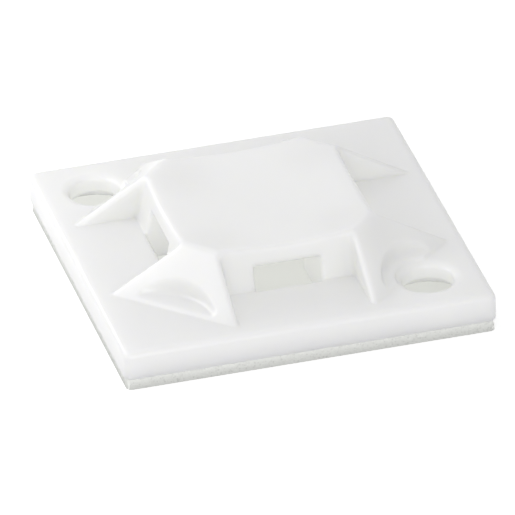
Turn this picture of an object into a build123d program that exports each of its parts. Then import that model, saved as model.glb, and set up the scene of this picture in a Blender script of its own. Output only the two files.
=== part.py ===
from build123d import *
import os
from math import atan, cos, radians, sin, sqrt, tan

# Adhesive-backed four-way cable tie mount, moulded in natural nylon, millimetres.
# X and Y run along the plate's sides, Z is up, and z = 0 is the sticky face under the foam.

# Base plate
plate_side = 28.0
plate_thick = 2.15
plate_corner_r = 0.6
plate_edge_r = 0.45

# Foam pad under the plate
foam_thick = 0.9
foam_inset = 0.15
foam_corner_r = 0.4

# Saddle: a block with leaning walls and a dished top that the cable bundle lies on
rim_half = 7.3
rim_height = 3.05
wall_lean = 13.5
dish_r = 40.0

# Four lobes brace the block towards the plate's corners, with a channel for the tie between each two
channel_half = 5.0
lobe_slope = 40.0
lobe_margin = 0.55
crest_round = 0.3

# Scoop in each lobe, clearing the corner for a screw head
scoop_inset = 2.9
scoop_r = 4.75
scoop_flare = 5.0
scoop_floor = 0.2

# Tie passages: a cross cored from below that opens through the four walls
tie_width = 5.0
tie_sill = 0.17
tie_corner_r = 0.4
roof_thick = 0.65

# Countersunk screw holes on one diagonal, where a relief under the plate leaves a thinner web
hole_inset = 4.1
hole_r = 1.9
sink_r = 2.35
sink_angle = 120.0
web_thick = 1.35
relief_r = 2.9

plate_top = foam_thick + plate_thick
plate_half = plate_side / 2
wall_spread = tan(radians(wall_lean))
wall_foot = rim_half + rim_height * wall_spread
dish_low = rim_height - (dish_r - sqrt(dish_r**2 - rim_half**2))
blank_height = 2 * rim_height
crest_tip = plate_half - plate_edge_r - lobe_margin
lobe_foot = (crest_tip + channel_half) / sqrt(2)
crest_lean = atan(tan(radians(lobe_slope)) / sqrt(2))
scoop_axis = plate_half - scoop_inset
hole_axis = plate_half - hole_inset
tie_reach = wall_foot - tie_sill * wall_spread

# One lobe: a ridge with a rounded crest along the channel, and its mirror image across the diagonal.
# The sketch looks along the crest, which rises inwards from its tip near the plate's edge.
crest_plane = Plane(
    origin=(channel_half, crest_tip, plate_top),
    x_dir=(1, 0, 0),
    z_dir=(0, -cos(crest_lean), sin(crest_lean)),
)
with BuildPart() as lobe:
    with BuildSketch(crest_plane):
        with BuildLine():
            Polyline(
                (0, 0),
                (plate_half, -plate_half * sin(crest_lean)),
                (plate_half, -plate_half),
                (0, -plate_half),
                close=True,
            )
        ridge = make_face()
        fillet(ridge.vertices().sort_by_distance((0, 0))[0], crest_round)
    extrude(amount=plate_side, both=True)
    mirror(about=Plane(origin=(0, 0, 0), z_dir=(1, -1, 0)), mode=Mode.INTERSECT)
    split(bisect_by=Plane.XY.offset(plate_top), keep=Keep.TOP)

# Saddle: the block's corners are cut back by the slope of the lobes, then lobes, dish and scoops follow
with BuildPart() as saddle:
    with BuildSketch(Plane.XY.offset(plate_top)):
        Rectangle(2 * wall_foot, 2 * wall_foot)
    extrude(amount=blank_height, taper=wall_lean)
    with BuildSketch(Plane.XY.offset(plate_top)):
        Rectangle(2 * lobe_foot, 2 * lobe_foot, rotation=45)
    extrude(amount=blank_height, taper=90 - lobe_slope, mode=Mode.INTERSECT)
    with PolarLocations(0, 4):
        add(lobe.part)
    with Locations((0, 0, plate_top + dish_low + dish_r)):
        Sphere(dish_r, rotation=(90, 0, 0), mode=Mode.SUBTRACT)
    with Locations((0, 0, plate_top + scoop_floor)):
        with GridLocations(2 * scoop_axis, 2 * scoop_axis, 2, 2):
            Cone(
                scoop_r,
                scoop_r + blank_height * tan(radians(scoop_flare)),
                blank_height,
                align=(Align.CENTER, Align.CENTER, Align.MIN),
                mode=Mode.SUBTRACT,
            )

with BuildPart() as mount_body:
    with BuildSketch(Plane.XY.offset(foam_thick)):
        RectangleRounded(plate_side, plate_side, plate_corner_r)
    extrude(amount=plate_thick)
    fillet(mount_body.edges().group_by(Axis.Z)[-1], plate_edge_r)
    add(saddle.part)
    with BuildSketch(Plane.XY.offset(foam_thick)) as tie_cross:
        Rectangle(2 * tie_reach, tie_width)
        Rectangle(tie_width, 2 * tie_reach)
        fillet(tie_cross.vertices().sort_by_distance((0, 0))[:4], tie_corner_r)
    extrude(amount=plate_thick + dish_low - roof_thick, mode=Mode.SUBTRACT)
    with Locations((-hole_axis, hole_axis, plate_top), (hole_axis, -hole_axis, plate_top)):
        CounterSinkHole(
            radius=hole_r,
            counter_sink_radius=sink_r,
            depth=plate_thick,
            counter_sink_angle=sink_angle,
        )
        with Locations((0, 0, -plate_thick)):
            Cylinder(
                relief_r,
                plate_thick - web_thick,
                align=(Align.CENTER, Align.CENTER, Align.MIN),
                mode=Mode.SUBTRACT,
            )

with BuildPart() as foam_pad:
    with BuildSketch(Plane.XY):
        RectangleRounded(plate_side - 2 * foam_inset, plate_side - 2 * foam_inset, foam_corner_r)
    extrude(amount=foam_thick)

os.makedirs("parts", exist_ok=True)
mount_body.part.label = "mount_body"
export_step(mount_body.part, "parts/mount_body.step")
foam_pad.part.label = "foam_pad"
export_step(foam_pad.part, "parts/foam_pad.step")
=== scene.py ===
import math

import bpy
from mathutils import Matrix, Vector


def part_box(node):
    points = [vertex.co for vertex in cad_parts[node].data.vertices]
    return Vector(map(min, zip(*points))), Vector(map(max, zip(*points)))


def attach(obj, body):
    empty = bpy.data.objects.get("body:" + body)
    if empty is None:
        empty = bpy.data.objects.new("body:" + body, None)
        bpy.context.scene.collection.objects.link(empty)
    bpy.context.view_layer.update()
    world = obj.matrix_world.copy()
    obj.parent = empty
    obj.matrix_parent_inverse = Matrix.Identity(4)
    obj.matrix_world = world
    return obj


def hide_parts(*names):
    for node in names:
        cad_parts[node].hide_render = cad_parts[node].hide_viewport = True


# Cable tie mount of natural nylon on a white foam pad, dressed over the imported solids
mm = 0.001

# Cosine of 45 degrees, for sizes along the plate's diagonals
diagonal = math.sqrt(0.5)

# Noise textures vary about this value
noiseMiddle = 0.5

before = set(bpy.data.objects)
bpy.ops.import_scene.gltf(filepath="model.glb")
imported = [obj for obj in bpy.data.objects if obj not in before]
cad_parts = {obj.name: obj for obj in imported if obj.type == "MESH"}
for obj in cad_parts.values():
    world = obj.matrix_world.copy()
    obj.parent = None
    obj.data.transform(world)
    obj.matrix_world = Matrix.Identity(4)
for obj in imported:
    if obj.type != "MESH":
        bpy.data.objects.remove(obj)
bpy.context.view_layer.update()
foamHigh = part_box("foam_pad")[1]
bodyLow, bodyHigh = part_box("mount_body")
print("frame loaded:", sorted(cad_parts))


# Wire holds an output socket, and arithmetic on it adds Math nodes to its tree
class Wire:
    def __init__(self, graph, socket):
        self.graph = graph
        self.socket = socket

    def __add__(self, other):
        return self.graph.math("ADD", self, other)

    def __radd__(self, other):
        return self.graph.math("ADD", other, self)

    def __sub__(self, other):
        return self.graph.math("SUBTRACT", self, other)

    def __rsub__(self, other):
        return self.graph.math("SUBTRACT", other, self)

    def __mul__(self, other):
        return self.graph.math("MULTIPLY", self, other)

    def __rmul__(self, other):
        return self.graph.math("MULTIPLY", other, self)

    def __truediv__(self, other):
        return self.graph.math("DIVIDE", self, other)

    def __rtruediv__(self, other):
        return self.graph.math("DIVIDE", other, self)

    def __neg__(self):
        return self.graph.math("MULTIPLY", self, -1.0)

    def __abs__(self):
        return self.graph.math("ABSOLUTE", self)


class Graph:
    def __init__(self, tree):
        self.tree = tree

    # Settings are set first, then each socket gets its value or link
    def node(self, kind, settings=None, sockets=None):
        node = self.tree.nodes.new(kind)
        for name, value in (settings or {}).items():
            if name == "stops":
                self.setStops(node.color_ramp, value)
            else:
                setattr(node, name, value)
        for name, value in (sockets or {}).items():
            self.feed(node.inputs[name], value)
        return node

    def feed(self, socket, value):
        if isinstance(value, Wire):
            self.tree.links.new(value.socket, socket)
        else:
            socket.default_value = value

    def setStops(self, ramp, stops):
        while len(ramp.elements) < len(stops):
            ramp.elements.new(1.0)
        for element, (place, colour) in zip(ramp.elements, stops):
            element.position = place
            element.color = colour

    def wire(self, node, output=0):
        return Wire(self, node.outputs[output])

    def math(self, operation, *values):
        sockets = dict(enumerate(values))
        return self.wire(self.node("ShaderNodeMath", {"operation": operation}, sockets))

    def least(self, a, b):
        return self.math("MINIMUM", a, b)

    def greatest(self, a, b):
        return self.math("MAXIMUM", a, b)

    def isAbove(self, a, b):
        return self.math("GREATER_THAN", a, b)

    def length(self, *parts):
        squares = [part * part for part in parts]
        return self.math("SQRT", sum(squares[1:], squares[0]))

    def split(self, vector):
        parts = self.node("ShaderNodeSeparateXYZ", sockets={0: vector})
        return [self.wire(parts, axis) for axis in "XYZ"]

    # One named input on the tree for each size
    def sizeInputs(self, sizes):
        for name in sizes:
            self.tree.interface.new_socket(name, in_out="INPUT", socket_type="NodeSocketFloat")
        entry = self.node("NodeGroupInput")
        return {name: self.wire(entry, name) for name in sizes}

    def finishGeometry(self, geometry, material):
        self.tree.interface.new_socket(
            "Geometry", in_out="OUTPUT", socket_type="NodeSocketGeometry"
        )
        real = self.node("GeometryNodeRealizeInstances", sockets={0: geometry})
        painted = self.node(
            "GeometryNodeSetMaterial", sockets={0: self.wire(real), "Material": material}
        )
        self.node("NodeGroupOutput", sockets={0: self.wire(painted)})


def newGeometryGraph(name):
    return Graph(bpy.data.node_groups.new(name, "GeometryNodeTree"))


def newShaderGraph(name):
    material = bpy.data.materials.new(name)
    material.use_nodes = True
    material.node_tree.nodes.clear()
    return material, Graph(material.node_tree)


# Runs a tree on an empty carrier and keeps the result as a plain mesh object
def pieceFromTree(name, graph, sizes):
    carrier = bpy.data.objects.new(name + "Carrier", bpy.data.meshes.new(name + "Carrier"))
    bpy.context.scene.collection.objects.link(carrier)
    modifier = carrier.modifiers.new("shape", "NODES")
    modifier.node_group = graph.tree
    for socket in graph.tree.interface.items_tree:
        if socket.in_out == "INPUT":
            modifier[socket.identifier] = sizes[socket.name]
    evaluated = carrier.evaluated_get(bpy.context.evaluated_depsgraph_get())
    mesh = bpy.data.meshes.new_from_object(evaluated)
    mesh.name = name
    carrier.modifiers.remove(modifier)
    bpy.data.objects.remove(carrier)
    piece = bpy.data.objects.new(name, mesh)
    bpy.context.scene.collection.objects.link(piece)
    return piece


# Natural nylon, milky, with a satin moulded skin
nylonLook = {
    "cloudy": (0.935, 0.94, 0.915, 1.0),
    "clear": (0.95, 0.955, 0.935, 1.0),
    "cloudyBelow": 0.3,
    "clearAbove": 0.7,
    "cloudScale": 160.0,
    "cloudDetail": 3.0,
    "skinScale": 2600.0,
    "skinDetail": 2.0,
    "skinStrength": 0.06,
    "skinDepth": 0.02 * mm,
    "roughness": 0.34,
    "roughnessSpread": 0.08,
    "refraction": 1.53,
    "gloss": 0.3,
    "glossRoughness": 0.14,
    "scatterShares": (1.0, 1.0, 0.9),
    "scatterDepth": 1.4 * mm,
    "passing": 0.88,
    "passingColour": (0.97, 0.97, 0.96, 1.0),
}


# Most of the diffuse and shadow rays pass, which stands in for the milky light inside the nylon
def nylonMaterial():
    material, graph = newShaderGraph("naturalNylon")
    look = nylonLook
    place = graph.wire(graph.node("ShaderNodeTexCoord"), "Object")
    clouds = graph.node(
        "ShaderNodeTexNoise",
        sockets={"Vector": place, "Scale": look["cloudScale"], "Detail": look["cloudDetail"]},
    )
    cloud = graph.wire(clouds)
    skin = graph.node(
        "ShaderNodeTexNoise",
        sockets={"Vector": place, "Scale": look["skinScale"], "Detail": look["skinDetail"]},
    )
    bump = graph.node(
        "ShaderNodeBump",
        sockets={
            "Strength": look["skinStrength"],
            "Distance": look["skinDepth"],
            "Height": graph.wire(skin),
        },
    )
    stops = [(look["cloudyBelow"], look["cloudy"]), (look["clearAbove"], look["clear"])]
    tint = graph.node("ShaderNodeValToRGB", {"stops": stops}, {0: cloud})
    roughness = look["roughness"] + (cloud - noiseMiddle) * look["roughnessSpread"]
    surface = graph.node(
        "ShaderNodeBsdfPrincipled",
        sockets={
            "Base Color": graph.wire(tint),
            "Roughness": roughness,
            "IOR": look["refraction"],
            "Coat Weight": look["gloss"],
            "Coat Roughness": look["glossRoughness"],
            "Subsurface Weight": 1.0,
            "Subsurface Radius": look["scatterShares"],
            "Subsurface Scale": look["scatterDepth"],
            "Normal": graph.wire(bump),
        },
    )
    path = graph.node("ShaderNodeLightPath")
    unseen = graph.greatest(graph.wire(path, "Is Diffuse Ray"), graph.wire(path, "Is Shadow Ray"))
    through = graph.node("ShaderNodeBsdfTransparent", sockets={"Color": look["passingColour"]})
    milky = graph.node(
        "ShaderNodeMixShader",
        sockets={0: unseen * look["passing"], 1: graph.wire(surface), 2: graph.wire(through)},
    )
    graph.node("ShaderNodeOutputMaterial", sockets={"Surface": graph.wire(milky)})
    return material


# White foam tape, matt, with pores along its cut side. Painted shade darkens the pores and the
# cut side towards its foot, where the floor shades it.
foamLook = {
    "colour": (0.93, 0.94, 0.91, 1.0),
    # Painted shade: black that the pores and the foot of the cut side are mixed towards
    "paintedShadeColour": (0.0, 0.0, 0.0, 1.0),
    "roughness": 0.9,
    "poreScale": 4200.0,
    "poreGain": 2.5,
    "paintedPoreShade": 0.13,
    "poreStrength": 0.5,
    "poreDepth": 0.05 * mm,
    "paintedFootShade": 0.29,
    "cutBand": 0.1 * mm,
}


def foamMaterial():
    material, graph = newShaderGraph("whiteFoam")
    look = foamLook
    place = graph.wire(graph.node("ShaderNodeTexCoord"), "Object")
    x, y, z = graph.split(place)
    pores = graph.node(
        "ShaderNodeTexVoronoi", sockets={"Vector": place, "Scale": look["poreScale"]}
    )
    cells = graph.least(graph.wire(pores, "Distance") * look["poreGain"], 1.0)
    outwards = graph.greatest(abs(x), abs(y))
    onCut = graph.isAbove(outwards, foamHigh.x - look["cutBand"])
    height = z / foamHigh.z
    # Painted shade: the cut side's pores and its lower part are darkened, standing in for the
    # shade in the cells and near the floor
    paintedShade = (1.0 - cells) * look["paintedPoreShade"] + (1.0 - height) * look["paintedFootShade"]
    paintedShadeMix = 1.0 - onCut * paintedShade
    bump = graph.node(
        "ShaderNodeBump",
        sockets={
            "Strength": look["poreStrength"],
            "Distance": look["poreDepth"],
            "Height": cells * onCut,
        },
    )
    tint = graph.node(
        "ShaderNodeMix",
        {"data_type": "RGBA"},
        {0: paintedShadeMix, 6: look["paintedShadeColour"], 7: look["colour"]},
    )
    surface = graph.node(
        "ShaderNodeBsdfPrincipled",
        sockets={
            "Base Color": graph.wire(tint, 2),
            "Roughness": look["roughness"],
            "Normal": graph.wire(bump),
        },
    )
    graph.node("ShaderNodeOutputMaterial", sockets={"Surface": graph.wire(surface)})
    return material


# Sizes of the moulding, in millimetres and radians, with z = 0 on the plate's top face
mouldSizes = {
    "plateHalf": bodyHigh.x / mm,
    "plateThick": 2.15,
    "plateCorner": 0.6,
    "plateEdgeRound": 0.45,
    "undersideRound": 0.06,
    "rimHalf": 7.3,
    "rimHeight": 3.05,
    "wallLean": math.radians(13.5),
    "dishRadius": 40.0,
    "channelHalf": 5.0,
    "lobeSlope": math.radians(40.0),
    "lobeEdgeGap": 1.0,
    "scoopInset": 2.9,
    "scoopRadius": 4.75,
    "scoopFlare": math.radians(5.0),
    "scoopFloor": 0.2,
    "scoopFloorLean": math.radians(5.0),
    "tieWidth": 5.0,
    "tieSill": 0.17,
    "roofThick": 0.65,
    "holeInset": 4.1,
    "holeRadius": 1.9,
    "sinkRadius": 2.35,
    "sinkLean": math.radians(60.0),
    "webThick": 1.35,
    "reliefRadius": 2.9,
    "rimRound": 0.35,
    "crestRound": 0.26,
    "nookRound": 0.4,
    "floorRound": 0.05,
    "archRound": 0.12,
    "archFade": 1.5,
    "archLeast": 0.1,
    "scoopRound": 0.4,
    "slotRound": 0.12,
    "holeRound": 0.08,
    "rootDepth": 0.2,
}
plateTopZ = bodyLow.z + mouldSizes["plateThick"] * mm

# Cosines of the angles between the outward normals of faces that meet in a rounded edge
mouldTurns = {
    "crest": -math.sin(mouldSizes["lobeSlope"]) * diagonal,
    "rim": math.cos(math.radians(84.0)),
    "arch": math.sin(mouldSizes["lobeSlope"]),
}

# Grid that the moulding's field is sampled on, in millimetres
mouldGrid = {
    "voxel": 0.155,
    "margin": 0.6,
    "height": 4.2,
}


# The moulding is one distance field: each form is a distance that is negative inside,
# and the edge where two forms meet is rounded or filleted
def mouldedMount(material):
    graph = newGeometryGraph("mouldedMount")
    size = graph.sizeInputs(mouldSizes)
    x, y, z = graph.split(graph.wire(graph.node("GeometryNodeInputPosition")))
    least = graph.least
    greatest = graph.greatest
    sideX = abs(x)
    sideY = abs(y)
    near = least(sideX, sideY)
    far = greatest(sideX, sideY)

    def tangent(name):
        return graph.math("TANGENT", size[name])

    def sine(name):
        return graph.math("SINE", size[name])

    def cosine(name):
        return graph.math("COSINE", size[name])

    # An outer edge of a given radius. turn is the cosine of the angle between the faces' normals.
    def rounded(a, b, radius, turn=0.0):
        u = a + radius
        v = b + radius
        square = (u * u + v * v - u * v * (2.0 * turn)) / (1.0 - turn**2)
        arc = graph.math("SQRT", greatest(square, 0.0))
        inArc = graph.isAbove(u, v * turn) * graph.isAbove(v, u * turn)
        flat = greatest(a, b)
        return flat + inArc * (arc - radius - flat)

    # An inner edge is an outer edge of the air round it
    def filleted(a, b, radius):
        return -rounded(-a, -b, radius)

    # Plate
    cornerX = sideX - (size["plateHalf"] - size["plateCorner"])
    cornerY = sideY - (size["plateHalf"] - size["plateCorner"])
    cornerReach = graph.length(greatest(cornerX, 0.0), greatest(cornerY, 0.0))
    outline = cornerReach + least(greatest(cornerX, cornerY), 0.0) - size["plateCorner"]
    plate = rounded(outline, z, size["plateEdgeRound"])
    plate = rounded(plate, -z - size["plateThick"], size["undersideRound"])

    # Saddle block and lobes, cut back by the lobes' slope and by the dish
    spread = tangent("wallLean")
    wallPlace = size["rimHalf"] + (size["rimHeight"] - z) * spread
    wall = (far - wallPlace) * cosine("wallLean")
    braced = filleted(wall, size["channelHalf"] - near, size["nookRound"])
    lobeFoot = (size["plateHalf"] - size["lobeEdgeGap"] + size["channelHalf"]) * diagonal
    slope = ((sideX + sideY) * diagonal - lobeFoot) * sine("lobeSlope") + z * cosine("lobeSlope")
    rimSquare = size["dishRadius"] * size["dishRadius"] - size["rimHalf"] * size["rimHalf"]
    dishLow = size["rimHeight"] - size["dishRadius"] + graph.math("SQRT", rimSquare)
    dish = size["dishRadius"] - graph.length(x, y, z - dishLow - size["dishRadius"])
    lobed = rounded(braced, slope, size["crestRound"], mouldTurns["crest"])
    raised = rounded(lobed, dish, size["rimRound"], mouldTurns["rim"])

    # Scoops, whose floor rises inwards. The rounding of their arches fades out towards the floor.
    scoopAxis = size["plateHalf"] - size["scoopInset"]
    floorRise = (lobeFoot - (sideX + sideY) * diagonal) * tangent("scoopFloorLean")
    overFloor = (z - size["scoopFloor"] - floorRise) * cosine("scoopFloorLean")
    scoopReach = graph.length(sideX - scoopAxis, sideY - scoopAxis)
    scoopWall = size["scoopRadius"] + z * tangent("scoopFlare") - scoopReach
    scoop = filleted(scoopWall, overFloor, size["scoopRound"])
    fade = least(greatest(overFloor * size["archFade"], size["archLeast"]), 1.0)
    raised = rounded(raised, scoop, size["archRound"] * fade, mouldTurns["arch"])

    # The saddle stands a little deep in the plate, so that their joint is a clean fillet
    body = filleted(greatest(raised, -z - size["rootDepth"]), plate, size["floorRound"])

    # Tie core, open from below and through the four walls
    coreReach = size["rimHalf"] + (size["rimHeight"] - size["tieSill"]) * spread
    coreEnd = least(coreReach - far, dishLow - size["roofThick"] - z)
    core = least(size["tieWidth"] / 2.0 - near, coreEnd)
    body = rounded(body, core, size["slotRound"])

    # Screw holes on the diagonal where x and y have opposite signs
    holeAxis = size["plateHalf"] - size["holeInset"]
    holeX = abs(x - y) * diagonal - holeAxis / diagonal
    holeReach = graph.length(holeX, (x + y) * diagonal)
    sink = (size["sinkRadius"] - holeReach) * cosine("sinkLean") + z * sine("sinkLean")
    body = rounded(body, least(sink, size["sinkRadius"] - holeReach), size["holeRound"])
    body = rounded(body, size["holeRadius"] - holeReach, size["holeRound"])
    relief = least(size["reliefRadius"] - holeReach, -z - size["webThick"])
    body = rounded(body, relief, size["holeRound"])

    # The field is sampled on a grid and becomes a mesh where it is zero
    margin = mouldGrid["margin"]
    low = (
        -bodyHigh.x / mm - margin,
        -bodyHigh.y / mm - margin,
        -mouldSizes["plateThick"] - margin,
    )
    high = (-low[0], -low[1], mouldGrid["height"])
    counts = [round((b - a) / mouldGrid["voxel"]) + 1 for a, b in zip(low, high)]
    cube = graph.node(
        "GeometryNodeVolumeCube",
        sockets={
            "Density": -body,
            "Background": -1.0,
            "Min": low,
            "Max": high,
            "Resolution X": counts[0],
            "Resolution Y": counts[1],
            "Resolution Z": counts[2],
        },
    )
    skin = graph.node(
        "GeometryNodeVolumeToMesh", sockets={0: graph.wire(cube), "Threshold": 0.0}
    )
    placed = graph.node(
        "GeometryNodeTransform",
        sockets={
            0: graph.wire(skin),
            "Translation": (0.0, 0.0, plateTopZ),
            "Scale": (mm, mm, mm),
        },
    )
    smooth = graph.node("GeometryNodeSetShadeSmooth", sockets={0: graph.wire(placed)})
    graph.finishGeometry(graph.wire(smooth), material)
    return pieceFromTree("nylonMount", graph, mouldSizes)


# The pad, in metres: its cut side is built in rows, and noise eats into the inner rows
foamSizes = {
    "side": foamHigh.x * 2.0,
    "thick": foamHigh.z,
    "corner": 0.4 * mm,
    "weld": 0.001 * mm,
    "raggedDepth": 0.13 * mm,
    "raggedScale": 2600.0,
    "raggedDetail": 2.0,
    "raggedFrom": 0.35,
    "raggedGain": 2.2,
    "raggedFade": 8.0,
}
foamCounts = {
    "around": 760,
    "rows": 8,
    "corner": 8,
}


def foamTape(material):
    graph = newGeometryGraph("foamTape")
    size = graph.sizeInputs(foamSizes)
    square = graph.node(
        "GeometryNodeCurvePrimitiveQuadrilateral",
        sockets={"Width": size["side"], "Height": size["side"]},
    )
    cornered = graph.node(
        "GeometryNodeFilletCurve",
        {"mode": "POLY"},
        {0: graph.wire(square), "Radius": size["corner"], "Count": foamCounts["corner"]},
    )
    outline = graph.node(
        "GeometryNodeResampleCurve",
        sockets={0: graph.wire(cornered), "Count": foamCounts["around"]},
    )
    under = graph.node("GeometryNodeFillCurve", {"mode": "NGONS"}, {0: graph.wire(outline)})
    lift = graph.node("ShaderNodeCombineXYZ", sockets={2: size["thick"] / foamCounts["rows"]})
    stack = graph.wire(under)
    for row in range(foamCounts["rows"]):
        raised = graph.node(
            "GeometryNodeExtrudeMesh",
            {"mode": "FACES"},
            {0: stack, "Offset": graph.wire(lift), "Offset Scale": 1.0, "Individual": False},
        )
        stack = graph.wire(raised)
    flipped = graph.node("GeometryNodeFlipFaces", sockets={0: graph.wire(under)})
    joined = graph.node("GeometryNodeJoinGeometry")
    graph.tree.links.new(stack.socket, joined.inputs[0])
    graph.tree.links.new(flipped.outputs[0], joined.inputs[0])
    closed = graph.node(
        "GeometryNodeMergeByDistance", sockets={0: graph.wire(joined), "Distance": size["weld"]}
    )
    place = graph.wire(graph.node("GeometryNodeInputPosition"))
    height = graph.split(place)[2] / size["thick"]
    inner = graph.least(height, 1.0 - height) * size["raggedFade"]
    ragged = graph.node(
        "ShaderNodeTexNoise",
        sockets={"Vector": place, "Scale": size["raggedScale"], "Detail": size["raggedDetail"]},
    )
    bites = graph.greatest(graph.wire(ragged) - size["raggedFrom"], 0.0) * size["raggedGain"]
    depth = graph.least(inner, 1.0) * bites * size["raggedDepth"]
    outwards = graph.wire(graph.node("GeometryNodeInputNormal"))
    push = graph.node(
        "ShaderNodeVectorMath", {"operation": "SCALE"}, {0: outwards, "Scale": -depth}
    )
    eaten = graph.node(
        "GeometryNodeSetPosition", sockets={0: graph.wire(closed), "Offset": graph.wire(push)}
    )
    graph.finishGeometry(graph.wire(eaten), material)
    return pieceFromTree("foamTape", graph, foamSizes)


nylon = nylonMaterial()
mount = mouldedMount(nylon)
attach(mount, "root")
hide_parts("mount_body")
print("moulding:", len(mount.data.polygons), "faces")

foam = foamTape(foamMaterial())
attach(foam, "root")
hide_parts("foam_pad")
print("foam:", len(foam.data.polygons), "faces")

# The camera looks down on the front edge from a little to the left
view = {
    "azimuth": math.radians(-14.437),
    "elevation": math.radians(30.099),
    "roll": math.radians(1.826),
    "distance": 1006.0 * mm,
    "lens": 961.7,
    "sensor": 36.0,
    "rightOfCentre": -0.209 * mm,
    "aboveCentre": -1.808 * mm,
}


def addCamera():
    a = view["azimuth"]
    e = view["elevation"]
    outwards = Vector((math.sin(a) * math.cos(e), -math.cos(a) * math.cos(e), math.sin(e)))
    level = Vector((math.cos(a), math.sin(a), 0.0))
    upright = outwards.cross(level)
    right = level * math.cos(view["roll"]) - upright * math.sin(view["roll"])
    up = level * math.sin(view["roll"]) + upright * math.cos(view["roll"])
    centre = Vector((0.0, 0.0, plateTopZ))
    aim = centre + right * view["rightOfCentre"] + up * view["aboveCentre"]
    place = centre + outwards * view["distance"]
    back = (place - aim).normalized()
    side = up.cross(back).normalized()
    turn = Matrix((side, back.cross(side), back)).transposed()
    lens = bpy.data.cameras.new("camera")
    lens.sensor_width = view["sensor"]
    lens.lens = view["lens"]
    camera = bpy.data.objects.new("camera", lens)
    camera.matrix_world = Matrix.Translation(place) @ turn.to_4x4()
    bpy.context.scene.collection.objects.link(camera)
    bpy.context.scene.camera = camera


# White floor that keeps a soft shadow: it shines a little for the rays that show it
floorLook = {
    "size": 3.0,
    "colour": (0.85, 0.85, 0.85, 1.0),
    "glow": 0.45,
}


def seenRays(graph):
    path = graph.node("ShaderNodeLightPath")
    mirrored = graph.wire(path, "Is Glossy Ray")
    refracted = graph.wire(path, "Is Transmission Ray")
    direct = graph.wire(path, "Is Camera Ray")
    return graph.greatest(graph.greatest(direct, mirrored), refracted)


def addFloor():
    mesh = bpy.data.meshes.new("floor")
    half = floorLook["size"] / 2.0
    corners = [(-half, -half, 0.0), (half, -half, 0.0), (half, half, 0.0), (-half, half, 0.0)]
    mesh.from_pydata(corners, [], [(0, 1, 2, 3)])
    floor = bpy.data.objects.new("floor", mesh)
    bpy.context.scene.collection.objects.link(floor)
    material, graph = newShaderGraph("paleFloor")
    matt = graph.node("ShaderNodeBsdfDiffuse", sockets={"Color": floorLook["colour"]})
    glow = graph.node(
        "ShaderNodeEmission", sockets={"Strength": seenRays(graph) * floorLook["glow"]}
    )
    both = graph.node("ShaderNodeAddShader", sockets={0: graph.wire(matt), 1: graph.wire(glow)})
    graph.node("ShaderNodeOutputMaterial", sockets={"Surface": graph.wire(both)})
    mesh.materials.append(material)


# White surroundings, dimmer as light than as backdrop, and three soft lamps aimed at the part
studio = {
    "ambient": 0.545,
    "sky": (1.0, 1.0, 1.0, 1.0),
    "lamps": {
        "nearSoftbox": {"power": 0.0150, "place": (-0.050, 0.022, 0.05), "width": 0.05},
        "backSoftbox": {"power": 0.06, "place": (-0.13, 0.25, 0.10), "width": 0.05},
        "frontSoftbox": {"power": 0.14, "place": (-0.03, -0.20, 0.10), "width": 0.15},
    },
}


def addLights():
    world = bpy.data.worlds.new("studio")
    bpy.context.scene.world = world
    world.use_nodes = True
    world.node_tree.nodes.clear()
    graph = Graph(world.node_tree)
    ambient = studio["ambient"]
    strength = ambient + seenRays(graph) * (1.0 - ambient)
    sky = graph.node(
        "ShaderNodeBackground", sockets={"Color": studio["sky"], "Strength": strength}
    )
    graph.node("ShaderNodeOutputWorld", sockets={"Surface": graph.wire(sky)})
    for name, look in studio["lamps"].items():
        lamp = bpy.data.lights.new(name, "AREA")
        lamp.shape = "DISK"
        lamp.size = look["width"]
        lamp.energy = look["power"]
        softbox = bpy.data.objects.new(name, lamp)
        place = Vector(look["place"])
        turn = place.to_track_quat("Z", "Y").to_matrix().to_4x4()
        softbox.matrix_world = Matrix.Translation(place) @ turn
        softbox.visible_camera = False
        bpy.context.scene.collection.objects.link(softbox)


addCamera()
addFloor()
addLights()
bpy.context.scene.view_settings.view_transform = "Standard"
print("studio ready")
